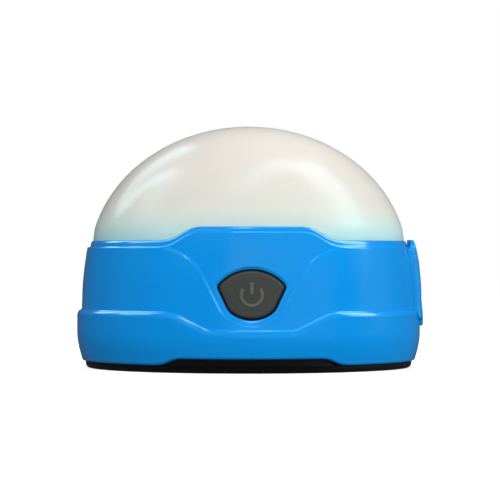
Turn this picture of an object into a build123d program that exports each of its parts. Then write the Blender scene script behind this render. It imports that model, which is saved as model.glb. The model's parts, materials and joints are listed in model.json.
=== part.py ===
from build123d import *
from math import asin, cos, radians, sin
import os

# Pocket LED lantern: a milky dome on a round housing, with a power button in front, a charging
# port under a rubber cover on the right, and a folding hook and a magnet in the base.
# Millimetres. +Z is up, the origin is the middle of the resting face, the button faces -Y and
# the charging port faces +X.

# ---- driving dimensions -------------------------------------------------------------------
HEIGHT = 40.3
REACH = 40.0                      # past every outside surface, for cutting tools
GAP = 0.05                        # between fixed pieces that are fitted into each other
PILOT = 0.02                      # how much wider a pilot hole is than its screw's shank

# dome: an ellipsoid, seen above the housing's wavy rim
DOME_R = 26.7
DOME_RISE = 23.0
DOME_Z = HEIGHT - DOME_RISE       # height of the ellipsoid's middle
DOME_WALL = 1.8
DOME_REBATE = 0.5                 # how deep the dome is cut back behind the housing's lip
LEDGE_Z = 20.5                    # the dome stands on the housing here
SKIRT_R = 25.6
SKIRT_WALL = 1.6
SKIRT_BOTTOM = 18.45
DOME_SEAL_Z = (19.0, 19.9)        # groove of the dome's seal
DOME_SEAL_DEPTH = 0.8
DOME_SEAL_R = 0.42

# housing
BORE_R = 25.7
FLARE_R = 28.75
FLARE_TOP = 9.8
RIM_LOW = 21.1                    # lip's edge at the sides
RIM_HIGH = 23.3                   # lip's edge on the front and back tongues
SKIN_LOW = 20.2                   # outer skin's edge, below the lip's
SKIN_HIGH = 22.55
FOOT_LOW = 1.15                   # housing's lower edge
FOOT_HIGH = 2.25                  # and where it is raised, front and back
RIM_WAVE = (8.1, 15.2)            # half widths where the rim's wave starts and ends
FOOT_WAVE = (10.5, 15.2)
BOSS_X = 11.0
BOSS_Y = 19.0
BOSS_R = 2.6
BOSS_BOTTOM = 4.05
RIB_HALF = 0.8
SEAT_HALF_X = 8.2                 # flat inside the wall behind the button
SEAT_BOTTOM = 6.8
PANEL_TOP = 30.0

# base
BASE_R = 27.3
BASE_EDGE_R = 0.7
TAB_R = 27.75
PLUG_R = 25.55
BASE_TOP = 4.0
SEAL_R = 0.49                     # base seal's cross section
SEAL_Z = (2.6, 3.6)               # and its groove
SEAL_DEPTH = 0.9
SCREW_R = 0.98                    # shank of the housing screws
SCREW_HEAD_R = 1.9
SCREW_HEAD_H = 1.2
HEAD_POCKET_R = 2.1
HEAD_POCKET_TOP = SCREW_HEAD_H + 0.1

# inner frame and boards
DECK_R = 25.5
DECK_BOTTOM = 17.4
DECK_TOP = 18.4
BOARD_R = 24.4
BOARD_BOTTOM = 15.2
BOARD_T = 1.0
BOARD_HALF_Y = 15.6
TONGUE_HALF_X = 6.5
TONGUE_Y = -21.5
POST_X = 19.5
POST_Y = 11.5
POST_R = 1.6
BOARD_SCREW_R = 0.8
LED_BOARD_R = 18.8
LED_BOARD_T = 1.0
LED_RING_R = 14.0
LED_COUNT = 9
RED_RING_R = 6.0
RED_COUNT = 3
LED_HALF = 1.4
LED_BODY_H = 0.7
LED_LENS_R = 1.1
LED_LENS_H = 0.25
LED_WINDOW_R = 2.2
LED_SCREW_RING_R = 16.6
LED_SCREW_R = 0.7
REFLECTOR_R = 23.6
REFLECTOR_BOTTOM = 19.75
REFLECTOR_T = 0.4

# battery
CELL = (40.0, 30.0, 8.8)
CELL_BOTTOM = 4.5

# button
BUTTON_FACE_Y = -27.25
BUTTON_GAP = 0.35                 # between the opening's edge and the cap
SEAT_Y = -24.4                    # flat inside face that the membrane is clamped to
MEMBRANE_T = 0.8
RETAINER_T = 0.8
PLUNGER_Y = -22.0
PLUNGER_R = 0.9
SWITCH_Y = -21.4
SWITCH_DEPTH = 3.0
SWITCH_Z = 12.5
SWITCH_HALF_X = 3.0
SWITCH_H = 5.4
NUB_R = 1.5
RETAINER_SCREW_X = 6.7
RETAINER_SCREW_Z = 8.9
RETAINER_SCREW_R = 0.5
RETAINER_SIZE = (16.0, 10.2)
RETAINER_Z = 12.1
SYMBOL_Z = 12.4                   # middle of the symbol's ring
SYMBOL_R = 1.94
SYMBOL_STROKE = 0.55
SYMBOL_BAR = (0.7, 2.3)
SYMBOL_DEPTH = 0.4
SYMBOL_PROUD = 0.12

# charging port and its cover
PORT_Z = 13.925
WELL_HALF_Y = 5.25
WELL_HALF_Z = 2.925
WELL_FLOOR_X = 26.2
PORT_PAD_X = 24.6
PORT_PAD_HALF_Y = 6.2
PORT_PAD_BOTTOM = 10.2
USB_HALF_Y = 3.75
USB_HALF_Z = 1.25
USB_BACK_X = 20.5
USB_FRONT_X = 26.0
USB_WALL = 0.3
COVER_HALF_Y = 7.0
LIP_HALF_Y = 4.3
COVER_GAP = 0.1
HINGE_X = 28.85
HINGE_Z = 7.3
HINGE_R = 0.42
HINGE_HALF_Y = 4.0
ANCHOR_X = 27.2
ANCHOR_Z = (5.6, 6.7)

# hook and magnet
WIRE_R = 1.0
WIRE_Z = 1.9
HOOK_R = 13.5
HOOK_CORNER = 5.5
AXLE_Y = 15.0
AXLE_END_X = -6.5
GROOVE_HALF = 1.3
GROOVE_DEPTH = 3.2
GROOVE_CORNER_R = 9.0             # leaves room for the hook's corner as it swings down
HOOK_TIP_Y = 4.5
CLAMP_HALF_X = 6.0
CLAMP_Y = (12.4, 21.0)
CLAMP_BOTTOM = 0.2
CLAMP_SCREW_X = 4.0
CLAMP_SCREW_Y = 18.7
CLAMP_SCREW_R = 0.7
CLAMP_HEAD_Z = CLAMP_BOTTOM + 0.75
MAGNET_R = 6.0
MAGNET_H = 2.5
MAGNET_BOTTOM = 0.75


# ---- small helpers ------------------------------------------------------------------------
def turned(face):
    """Solid of revolution from a face drawn as (radius, height)."""
    return revolve(Plane.XZ * face, axis=Axis.Z)


def disc(radius, bottom, top, x=0.0, y=0.0):
    """Upright cylinder between two heights."""
    return Pos(x, y, (bottom + top) / 2) * Cylinder(radius, top - bottom)


def block(x, y, z):
    """Box from three (low, high) pairs."""
    sizes = [high - low for low, high in (x, y, z)]
    middles = [(high + low) / 2 for low, high in (x, y, z)]
    return Pos(*middles) * Box(*sizes)


def along_y(face, start, end):
    """Prism of a face drawn as (x, z), between two places on Y."""
    return Pos(0, end, 0) * extrude(Plane.XZ * face, amount=end - start)


def bar_y(radius, start, end, x=0.0, z=0.0):
    """Round bar along Y."""
    return Pos(x, (start + end) / 2, z) * Rot(90, 0, 0) * Cylinder(radius, end - start)


def ring(major, minor, height):
    """Round seal of a given cross section."""
    return Pos(0, 0, height) * Torus(major, minor)


def four(x, y):
    """The four mirrored places of a screw pattern."""
    return [(sx * x, sy * y) for sx in (-1, 1) for sy in (-1, 1)]


def around(count, radius, first=0.0):
    """Places on a circle, first is in degrees."""
    angles = [radians(first + 360.0 * i / count) for i in range(count)]
    return [(radius * cos(a), radius * sin(a)) for a in angles]


def screw(x, y, head_z, tip_z, head_r, head_h, shank_r):
    """Screw along Z whose head's underside is at head_z; it points to tip_z."""
    away = 1 if head_z > tip_z else -1
    head = disc(head_r, *sorted((head_z, head_z + away * head_h)), x, y)
    shank = disc(shank_r, *sorted((head_z, tip_z)), x, y)
    slot_z = head_z + away * head_h
    slot = disc(head_r * 0.45, *sorted((slot_z, slot_z - away * head_h * 0.5)), x, y)
    return head + shank - slot


# ---- outlines shared by several pieces ----------------------------------------------------
def under_wave(low, high, wave):
    """Prism of everything below a line that is level, and raised in the middle."""
    inner, outer = wave
    middle = (inner + outer) / 2
    floor = -REACH
    line = [
        Line((-REACH, floor), (-REACH, low)),
        Line((-REACH, low), (-outer, low)),
        Bezier((-outer, low), (-middle, low), (-middle, high), (-inner, high)),
        Line((-inner, high), (inner, high)),
        Bezier((inner, high), (middle, high), (middle, low), (outer, low)),
        Line((outer, low), (REACH, low)),
        Line((REACH, low), (REACH, floor)),
        Line((REACH, floor), (-REACH, floor)),
    ]
    return along_y(make_face(line), -REACH, REACH)


def dome_arc(inset, low, high):
    """Arc of the dome's section, set in by an inset, from one height up to another.

    It is a smooth curve through points of the ellipse.
    """
    wide = DOME_R - inset
    rise = DOME_RISE - inset
    start, end = [asin(min(1.0, (z - DOME_Z) / rise)) for z in (low, high)]
    steps = 6
    angles = [start + (end - start) * i / steps for i in range(steps + 1)]
    points = [(round(wide * cos(a), 9), DOME_Z + rise * sin(a)) for a in angles]
    tangents = [(-wide * sin(a), rise * cos(a)) for a in (start, end)]
    return Spline(*points, tangents=tangents)


def dome_band(outer, inner, low, high):
    """Ring between two insets of the dome's surface."""
    outside = dome_arc(outer, low, high)
    inside = dome_arc(inner, low, high)
    ends = [Line(inside @ 0, outside @ 0), Line(inside @ 1, outside @ 1)]
    return turned(make_face([outside, inside] + ends))


def dome_core(inset, low, high):
    """Solid inside the dome's surface, set in by an inset, between two heights."""
    side = dome_arc(inset, low, high)
    ends = [Line((0, low), side @ 0), Line((0, low), (0, high)), Line((0, high), side @ 1)]
    return turned(make_face([side] + ends))


def button_face(grow=0.0):
    """Shield outline of the button opening, as (x, z)."""
    edges = [
        ThreePointArc((-5.65, 13.8), (0, 16.6), (5.65, 13.8)),
        Line((5.65, 13.8), (3.8, 9.9)),
        ThreePointArc((3.8, 9.9), (0, 8.4), (-3.8, 9.9)),
        Line((-3.8, 9.9), (-5.65, 13.8)),
    ]
    face = make_face(edges)
    face = fillet(face.vertices(), 0.8)
    return offset(face, amount=grow) if grow else face


def panel_face():
    """Outline of the sunk panel round the button, open upwards through the rim."""
    edges = [
        ThreePointArc((-5.0, 9.9), (0, 7.43), (5.0, 9.9)),
        Line((5.0, 9.9), (7.5, 14.8)),
        ThreePointArc((7.5, 14.8), (9.6, 17.8), (12.5, 19.5)),
        Line((12.5, 19.5), (12.5, PANEL_TOP)),
        Line((12.5, PANEL_TOP), (-12.5, PANEL_TOP)),
        Line((-12.5, PANEL_TOP), (-12.5, 19.5)),
        ThreePointArc((-12.5, 19.5), (-9.6, 17.8), (-7.5, 14.8)),
        Line((-7.5, 14.8), (-5.0, 9.9)),
    ]
    return make_face(edges)


# ---- housing ------------------------------------------------------------------------------
def upper_skin():
    """Tapering wall above the flare, with its edge following the rim's wave."""
    edges = [
        Line((0, FOOT_LOW), (27.3, FOOT_LOW)),
        Line((27.3, FOOT_LOW), (28.15, 7.0)),
        Line((28.15, 7.0), (27.75, 15.0)),
        ThreePointArc((27.75, 15.0), (27.3, 18.8), (26.6, SKIN_HIGH)),
        Line((26.6, SKIN_HIGH), (0, SKIN_HIGH)),
        Line((0, SKIN_HIGH), (0, FOOT_LOW)),
    ]
    return turned(make_face(edges)) & under_wave(SKIN_LOW, SKIN_HIGH, RIM_WAVE)


def flare():
    """Thicker lower band; its upper edge dips under the button."""
    edges = [
        Line((0, FOOT_LOW), (27.3, FOOT_LOW)),
        ThreePointArc((27.3, FOOT_LOW), (27.75, 1.32), (27.98, 1.75)),
        ThreePointArc((27.98, 1.75), (28.45, 3.7), (FLARE_R, 6.0)),
        Line((FLARE_R, 6.0), (FLARE_R, 8.3)),
        ThreePointArc((FLARE_R, 8.3), (28.55, 9.35), (28.1, FLARE_TOP)),
        Line((28.1, FLARE_TOP), (0, FLARE_TOP)),
        Line((0, FLARE_TOP), (0, FOOT_LOW)),
    ]
    dip = [(-12.6, FLARE_TOP), (-6.9, 6.9), (6.9, 6.9), (12.6, FLARE_TOP)]
    dip = make_face(Polyline(*dip, close=True))
    return turned(make_face(edges)) - along_y(dip, -REACH, 0)


def panel_floor():
    """Body whose outside is the floor of the sunk panel."""
    edges = [
        Line((0, 0), (27.45, 0)),
        Line((27.45, 0), (27.45, 9.0)),
        ThreePointArc((27.45, 9.0), (27.15, 16.0), (26.45, SKIN_HIGH + 1)),
        Line((26.45, SKIN_HIGH + 1), (0, SKIN_HIGH + 1)),
        Line((0, SKIN_HIGH + 1), (0, 0)),
    ]
    return turned(make_face(edges))


def screw_bosses():
    """Four screw bosses, each joined to the wall by a rib."""
    bosses = []
    for x, y in four(BOSS_X, BOSS_Y):
        side = 1 if y > 0 else -1
        bosses.append(disc(BOSS_R, BOSS_BOTTOM, DECK_BOTTOM, x, y))
        rib_y = sorted((y, side * (BORE_R - 2.0)))
        bosses.append(block((x - RIB_HALF, x + RIB_HALF), rib_y, (BOSS_BOTTOM, DECK_BOTTOM)))
    return bosses


def housing():
    """Blue shell with its lip, bosses, button seat and port well."""
    outer = upper_skin() + flare()
    outer -= along_y(panel_face(), -REACH, 0) - panel_floor()
    lip = dome_band(0, DOME_REBATE - GAP, 19.0, RIM_HIGH + 0.5)
    shell = outer - disc(BORE_R, 0, LEDGE_Z) - dome_core(DOME_REBATE - GAP, LEDGE_Z, RIM_HIGH + 0.5)
    shell += lip & under_wave(RIM_LOW, RIM_HIGH, RIM_WAVE) & disc(REACH, LEDGE_Z - 0.2, REACH)
    shell -= under_wave(FOOT_LOW, FOOT_HIGH, FOOT_WAVE)
    inside = disc(BORE_R + 0.5, BOSS_BOTTOM, DECK_BOTTOM - GAP)
    seat = block((-SEAT_HALF_X, SEAT_HALF_X), (-BORE_R - 0.5, SEAT_Y), (SEAT_BOTTOM, DECK_BOTTOM - GAP))
    pad = block((PORT_PAD_X, BORE_R + 0.5), (-PORT_PAD_HALF_Y, PORT_PAD_HALF_Y),
                (PORT_PAD_BOTTOM, DECK_BOTTOM - GAP))
    shell += seat & inside
    shell += pad & inside
    for boss in screw_bosses():
        shell += boss
    for x, y in four(BOSS_X, BOSS_Y):
        shell -= disc(SCREW_R + PILOT, 0, DECK_TOP, x, y)
    shell -= along_y(button_face(), -REACH, SEAT_Y + 5)
    for x in (-RETAINER_SCREW_X, RETAINER_SCREW_X):
        shell -= bar_y(RETAINER_SCREW_R + PILOT, SEAT_Y - 1.8, SEAT_Y, x, RETAINER_SCREW_Z)
    shell -= port_cuts()
    return shell


def port_cuts():
    """Well for the cover's plug, the hole for the receptacle and the cover's seats."""
    well_z = (PORT_Z - WELL_HALF_Z, PORT_Z + WELL_HALF_Z)
    well = block((WELL_FLOOR_X, REACH), (-WELL_HALF_Y, WELL_HALF_Y), well_z)
    hole = block((PORT_PAD_X - 1, REACH), (-USB_HALF_Y - GAP, USB_HALF_Y + GAP),
                 (PORT_Z - USB_HALF_Z - GAP, PORT_Z + USB_HALF_Z + GAP))
    knuckle = bar_y(HINGE_R + 0.15, -HINGE_HALF_Y - 0.2, HINGE_HALF_Y + 0.2, HINGE_X, HINGE_Z)
    slot = block((ANCHOR_X - GAP, REACH), (-HINGE_HALF_Y - GAP, HINGE_HALF_Y + GAP),
                 (ANCHOR_Z[0] - GAP, ANCHOR_Z[1] + GAP))
    return well + hole + knuckle + slot


# ---- dome ---------------------------------------------------------------------------------
def diffuser_dome():
    """Milky dome, cut back where the housing's lip covers it, with a sealed skirt."""
    seam = RIM_HIGH + 1.2             # the cap above it is made apart from the band below
    outside = dome_arc(0, seam, HEIGHT)
    inside = dome_arc(DOME_WALL, seam, HEIGHT - DOME_WALL)
    ends = [Line(inside @ 0, outside @ 0), Line(inside @ 1, outside @ 1)]
    cap = turned(make_face([outside, inside] + ends))
    band = dome_band(0, DOME_WALL, LEDGE_Z, seam)
    rebate = dome_band(-1.0, DOME_REBATE, LEDGE_Z - 0.5, RIM_HIGH + 0.5)
    band -= rebate & under_wave(RIM_LOW + GAP, RIM_HIGH + GAP, RIM_WAVE)
    skirt = disc(SKIRT_R, SKIRT_BOTTOM, LEDGE_Z + 0.4) - disc(SKIRT_R - SKIRT_WALL, 0, REACH)
    skirt -= disc(REACH, *DOME_SEAL_Z) - disc(SKIRT_R - DOME_SEAL_DEPTH, 0, REACH)
    return band + cap + skirt


def dome_seal_ring():
    """Round seal in the skirt's groove."""
    middle = sum(DOME_SEAL_Z) / 2
    return ring(SKIRT_R - DOME_SEAL_DEPTH + DOME_SEAL_R + 0.02, DOME_SEAL_R, middle)


# ---- inner frame and light ----------------------------------------------------------------
def inner_frame():
    """Deck across the housing, with posts for both boards."""
    frame = disc(DECK_R, DECK_BOTTOM, DECK_TOP)
    for x, y in four(POST_X, POST_Y):
        frame += disc(POST_R, BOARD_BOTTOM + BOARD_T, DECK_BOTTOM, x, y)
        frame -= disc(BOARD_SCREW_R + PILOT, 0, DECK_BOTTOM + 0.5, x, y)
    for x, y in led_screw_places():
        frame += disc(1.5, DECK_BOTTOM - 0.8, DECK_BOTTOM, x, y)
        frame -= disc(LED_SCREW_R + PILOT, DECK_BOTTOM - 0.7, REACH, x, y)
    for x, y in four(BOSS_X, BOSS_Y):
        frame -= disc(SCREW_R + 0.1, 0, REACH, x, y)
    frame -= block((-7.0, -5.0), (-2.6, 2.6), (0, REACH))
    return frame


def frame_screws():
    """Screws that hold the inner frame to the housing's bosses."""
    places = four(BOSS_X, BOSS_Y)
    return [screw(x, y, DECK_TOP, DECK_TOP - 6, SCREW_HEAD_R, 1.1, SCREW_R) for x, y in places]


def led_screw_places():
    """Three screws hold the light board."""
    return around(3, LED_SCREW_RING_R, 30)


def white_places():
    """Main emitters, on the outer ring."""
    return around(LED_COUNT, LED_RING_R)


def red_places():
    """Night-vision emitters, near the middle."""
    return around(RED_COUNT, RED_RING_R, 90)


def led_board():
    """Round light board."""
    board = disc(LED_BOARD_R, DECK_TOP, DECK_TOP + LED_BOARD_T)
    for x, y in led_screw_places():
        board -= disc(LED_SCREW_R + 0.1, 0, REACH, x, y)
    return board


def led_package(x, y):
    """Square package with a shallow domed emitter."""
    top = DECK_TOP + LED_BOARD_T
    shoulder = top + LED_BODY_H
    body = block((x - LED_HALF, x + LED_HALF), (y - LED_HALF, y + LED_HALF), (top, shoulder))
    return body + disc(LED_LENS_R, shoulder, shoulder + LED_LENS_H, x, y)


def white_leds():
    """Packages of the main emitters."""
    return [led_package(x, y) for x, y in white_places()]


def red_leds():
    """Packages of the night-vision emitters."""
    return [led_package(x, y) for x, y in red_places()]


def reflector_plate():
    """White sheet over the light board, with a window for each emitter and screw."""
    plate = disc(REFLECTOR_R, REFLECTOR_BOTTOM, REFLECTOR_BOTTOM + REFLECTOR_T)
    for x, y in white_places() + red_places():
        plate -= disc(LED_WINDOW_R, 0, REACH, x, y)
    for x, y in led_screw_places():
        plate -= disc(LED_SCREW_R + 1.0, 0, REACH, x, y)
    return plate


def led_board_screws():
    """Three small screws through the light board."""
    top = DECK_TOP + LED_BOARD_T
    tip = DECK_BOTTOM - 0.5
    return [screw(x, y, top, tip, 2 * LED_SCREW_R, 0.7, LED_SCREW_R) for x, y in led_screw_places()]


# ---- control board ------------------------------------------------------------------------
def control_board():
    """Main board: a disc cut straight at front and back, with a tongue for the switch."""
    heights = (BOARD_BOTTOM, BOARD_BOTTOM + BOARD_T)
    board = disc(BOARD_R, *heights) & block((-REACH, REACH), (-BOARD_HALF_Y, BOARD_HALF_Y), heights)
    board += block((-TONGUE_HALF_X, TONGUE_HALF_X), (TONGUE_Y, 0), heights)
    for x, y in four(POST_X, POST_Y):
        board -= disc(BOARD_SCREW_R + 0.1, 0, REACH, x, y)
    return board


def board_screws():
    """Screws from below, through the control board into the frame's posts."""
    places = four(POST_X, POST_Y)
    tip = DECK_BOTTOM + 0.4
    return [screw(x, y, BOARD_BOTTOM, tip, 1.5, 0.8, BOARD_SCREW_R) for x, y in places]


def under_board(x, y, size_x, size_y, height):
    """Rectangular component under the control board."""
    return block((x - size_x / 2, x + size_x / 2), (y - size_y / 2, y + size_y / 2),
                 (BOARD_BOTTOM - height, BOARD_BOTTOM))


def charge_ic():
    """Charging and driver chip."""
    return under_board(8.0, 6.0, 5.0, 4.0, 1.0)


def power_inductor():
    """Boost coil in its square case."""
    return under_board(-4.0, 7.0, 5.0, 5.0, 1.6) - disc(1.0, 0, BOARD_BOTTOM - 1.3, -4.0, 7.0)


def smd_capacitors():
    """Row of small capacitors beside the chip."""
    return [under_board(3.0 + 2.4 * i, -3.0, 1.2, 2.0, 0.9) for i in range(4)]


def indicator_led():
    """Small emitter in front of the switch that lights the symbol."""
    return under_board(4.9, TONGUE_Y + 1.0, 1.6, 0.9, 0.6)


def usb_receptacle():
    """Metal sleeve of the charging port."""
    x = (USB_BACK_X, USB_FRONT_X)
    outer = block(x, (-USB_HALF_Y, USB_HALF_Y), (PORT_Z - USB_HALF_Z, PORT_Z + USB_HALF_Z))
    half_y = USB_HALF_Y - USB_WALL
    half_z = USB_HALF_Z - USB_WALL
    hollow = block((USB_BACK_X + USB_WALL, REACH), (-half_y, half_y), (PORT_Z - half_z, PORT_Z + half_z))
    return outer - hollow


def usb_tongue():
    """Plastic tongue and its block inside the sleeve."""
    inset = USB_WALL + GAP
    half_y = USB_HALF_Y - inset
    half_z = USB_HALF_Z - inset
    root_x = USB_BACK_X + 1.5
    back = block((USB_BACK_X + inset, root_x), (-half_y, half_y), (PORT_Z - half_z, PORT_Z + half_z))
    blade = block((root_x, USB_FRONT_X - 0.6), (-1.9, 1.9), (PORT_Z + 0.05, PORT_Z + 0.6))
    return back + blade


# ---- button -------------------------------------------------------------------------------
def switch_body():
    """Right-angle tactile switch under the board's tongue."""
    y = (SWITCH_Y, SWITCH_Y + SWITCH_DEPTH)
    body = block((-SWITCH_HALF_X, SWITCH_HALF_X), y, (BOARD_BOTTOM - SWITCH_H, BOARD_BOTTOM))
    bore = bar_y(PLUNGER_R + GAP, SWITCH_Y - 1, SWITCH_Y + 1.1, 0, SWITCH_Z)
    return body - bore


def switch_plunger():
    """Plunger of the switch; it moves with the button."""
    return bar_y(PLUNGER_R, PLUNGER_Y, SWITCH_Y + 0.5, 0, SWITCH_Z)


def power_button():
    """Rubber cap with a nub that reaches the switch."""
    face = button_face(-BUTTON_GAP)
    cap = along_y(face, BUTTON_FACE_Y - 1, SEAT_Y + MEMBRANE_T + 0.9)
    cap &= disc(-BUTTON_FACE_Y, 0, HEIGHT)
    nub = bar_y(NUB_R, SEAT_Y, PLUNGER_Y - GAP, 0, SWITCH_Z)
    return cap + nub - symbol_tool(BUTTON_FACE_Y + SYMBOL_DEPTH)


def symbol_tool(floor_y):
    """Power symbol as a prism from outside the cap to a floor."""
    sector = Polyline((0, 0), (3.6, 3.0), (3.6, 5.6), (-3.6, 5.6), (-3.6, 3.0), close=True)
    mark = Circle(SYMBOL_R) - Circle(SYMBOL_R - SYMBOL_STROKE) - make_face(sector)
    mark += Pos(0, 1.1) * Rectangle(*SYMBOL_BAR)
    mark = Pos(0, SYMBOL_Z) * mark
    return along_y(mark, -REACH, floor_y)


def button_symbol():
    """Lighter inlay of the power symbol, a little proud of the cap."""
    proud = disc(-BUTTON_FACE_Y + SYMBOL_PROUD, 0, HEIGHT)
    return symbol_tool(BUTTON_FACE_Y + SYMBOL_DEPTH - 0.02) & proud


def button_membrane():
    """Rubber ring round the cap with a flat flange behind the wall."""
    flange = along_y(button_face(0.7), SEAT_Y, SEAT_Y + MEMBRANE_T)
    collar = along_y(button_face(-0.03), SEAT_Y - 1.9, SEAT_Y)
    return flange + collar - along_y(button_face(-BUTTON_GAP + GAP), -REACH, 0)


def button_retainer():
    """Plate that clamps the membrane's flange to the housing."""
    back = SEAT_Y + MEMBRANE_T
    outline = Pos(0, RETAINER_Z) * Rectangle(*RETAINER_SIZE)
    plate = along_y(outline, back, back + RETAINER_T)
    for x in (-RETAINER_SCREW_X, RETAINER_SCREW_X):
        plate += bar_y(1.1, SEAT_Y, back, x, RETAINER_SCREW_Z)
        plate -= bar_y(RETAINER_SCREW_R + 0.05, -REACH, 0, x, RETAINER_SCREW_Z)
    return plate - along_y(button_face(0.1), -REACH, 0)


def button_retainer_screws():
    """Two small screws through the retainer into the wall."""
    back = SEAT_Y + MEMBRANE_T + RETAINER_T
    screws = []
    for x in (-RETAINER_SCREW_X, RETAINER_SCREW_X):
        head = bar_y(1.0, back, back + 0.6, x, RETAINER_SCREW_Z)
        screws.append(head + bar_y(RETAINER_SCREW_R, SEAT_Y - 1.7, back, x, RETAINER_SCREW_Z))
    return screws


# ---- battery and wires --------------------------------------------------------------------
def battery_cell():
    """Flat lithium cell with rounded long edges."""
    middle = CELL_BOTTOM + CELL[2] / 2
    cell = Pos(0, 0, middle) * Box(*CELL)
    return fillet(cell.edges().filter_by(Axis.Y), 2.0)


def battery_pad():
    """Foam tape between the cell and the base."""
    return block((-17, 17), (-12, 12), (BASE_TOP + 0.02, CELL_BOTTOM - 0.02))


def battery_connector():
    """Connector at the board's left end."""
    return block((-23.4, -20.8), (-3.0, 3.0), (BOARD_BOTTOM - 2.6, BOARD_BOTTOM))


def wire_run(points, bend):
    """Round wire along runs joined by arcs."""
    path = FilletPolyline(*points, radius=bend)
    start = Plane(path @ 0, z_dir=path % 0)
    return sweep(start * Circle(0.5), path=path)


def battery_leads():
    """Two wires from the cell's end up to the connector."""
    top = BOARD_BOTTOM - 2.6
    wires = []
    for y in (-1.2, 1.2):
        wires.append(wire_run([(-CELL[0] / 2, y, 9.0), (-22.2, y, 9.0), (-22.2, y, top)], 1.2))
    return wires


def led_leads():
    """Three short wires from the control board up to the light board."""
    return [disc(0.45, BOARD_BOTTOM + BOARD_T, DECK_TOP, -6.0, y) for y in (-1.8, 0.0, 1.8)]


# ---- base ---------------------------------------------------------------------------------
def base_plate():
    """Dark base: foot, tabs that fill the housing's raised edge, sealed plug, hook groove."""
    edges = [
        Line((0, 0), (BASE_R - BASE_EDGE_R, 0)),
        ThreePointArc((BASE_R - BASE_EDGE_R, 0), (BASE_R - 0.2, 0.22), (BASE_R, BASE_EDGE_R)),
        Line((BASE_R, BASE_EDGE_R), (BASE_R, FOOT_LOW - 0.02)),
        Line((BASE_R, FOOT_LOW - 0.02), (0, FOOT_LOW - 0.02)),
        Line((0, FOOT_LOW - 0.02), (0, 0)),
    ]
    base = turned(make_face(edges))
    under = under_wave(FOOT_LOW - 0.4, FOOT_HIGH - GAP, FOOT_WAVE)
    base += disc(TAB_R, FOOT_LOW - 0.02, REACH) & under
    base += disc(PLUG_R, 0.5, BASE_TOP)
    base -= disc(REACH, *SEAL_Z) - disc(PLUG_R - SEAL_DEPTH, 0, REACH)
    for x, y in four(BOSS_X, BOSS_Y):
        base -= disc(HEAD_POCKET_R, -1, HEAD_POCKET_TOP, x, y)
        base -= disc(SCREW_R + 0.1, -1, REACH, x, y)
    base -= disc(MAGNET_R + GAP, MAGNET_BOTTOM - 0.03, REACH)
    base -= hook_groove()
    base -= clamp_seat()
    return base


def base_seal_ring():
    """Round seal round the base's plug."""
    return ring(PLUG_R - SEAL_DEPTH + SEAL_R + 0.01, SEAL_R, sum(SEAL_Z) / 2)


def base_screws():
    """Four screws from below into the housing's bosses."""
    places = four(BOSS_X, BOSS_Y)
    tip = HEAD_POCKET_TOP + 8
    return [screw(x, y, HEAD_POCKET_TOP, tip, SCREW_HEAD_R, SCREW_HEAD_H, SCREW_R) for x, y in places]


def magnet():
    """Disc magnet that holds the lantern to steel."""
    return disc(MAGNET_R, MAGNET_BOTTOM, MAGNET_BOTTOM + MAGNET_H)


def magnet_cap():
    """Lid pressed in over the magnet."""
    return disc(MAGNET_R, MAGNET_BOTTOM + MAGNET_H + 0.02, BASE_TOP)


def hook_path():
    """Centre line of the hook's wire, from the end of its axle round to its tip."""
    corner_x = HOOK_R - HOOK_CORNER
    corner_y = AXLE_Y - HOOK_CORNER
    bend = HOOK_CORNER * sin(radians(45))
    z = WIRE_Z
    return Wire([
        Line((AXLE_END_X, AXLE_Y, z), (corner_x, AXLE_Y, z)),
        ThreePointArc((corner_x, AXLE_Y, z), (corner_x + bend, corner_y + bend, z), (HOOK_R, corner_y, z)),
        Line((HOOK_R, corner_y, z), (HOOK_R, 0, z)),
        ThreePointArc((HOOK_R, 0, z), (0, -HOOK_R, z), (-HOOK_R, 0, z)),
        Line((-HOOK_R, 0, z), (-HOOK_R, HOOK_TIP_Y, z)),
    ])


def hanging_hook():
    """Bent steel wire that folds into the base."""
    path = hook_path()
    start = Plane(origin=(AXLE_END_X, AXLE_Y, WIRE_Z), x_dir=(0, 1, 0), z_dir=(1, 0, 0))
    wire = sweep(start * Circle(WIRE_R), path=path)
    tip = Pos(-HOOK_R, HOOK_TIP_Y, WIRE_Z) * Sphere(WIRE_R)
    return wire + tip


def hook_groove():
    """Groove that the folded hook lies in, with a notch for a fingertip."""
    depth = (-1, GROOVE_DEPTH)
    low, high = HOOK_R - GROOVE_HALF, HOOK_R + GROOVE_HALF
    corner_x = HOOK_R - HOOK_CORNER
    corner_y = AXLE_Y - HOOK_CORNER
    axle_y = (AXLE_Y - GROOVE_HALF, AXLE_Y + GROOVE_HALF)
    loop = disc(high, *depth) - disc(low, *depth)
    loop &= block((-REACH, REACH), (-REACH, 0), depth)
    corner = disc(GROOVE_CORNER_R, *depth) - disc(HOOK_CORNER - GROOVE_HALF, *depth)
    corner &= block((0, HOOK_CORNER + GROOVE_HALF), (0, HOOK_CORNER + GROOVE_HALF), depth)
    groove = loop + Pos(corner_x, corner_y, 0) * corner
    groove += block((low, high), (0, corner_y), depth)
    groove += block((-high, -low), (0, HOOK_TIP_Y + 1.5), depth)
    groove += block((CLAMP_HALF_X, corner_x), axle_y, depth)
    groove += block((AXLE_END_X - 0.4, -CLAMP_HALF_X), axle_y, depth)
    return groove + disc(4.5, -1, 2.2, 0, -HOOK_R - 1.0)


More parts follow.
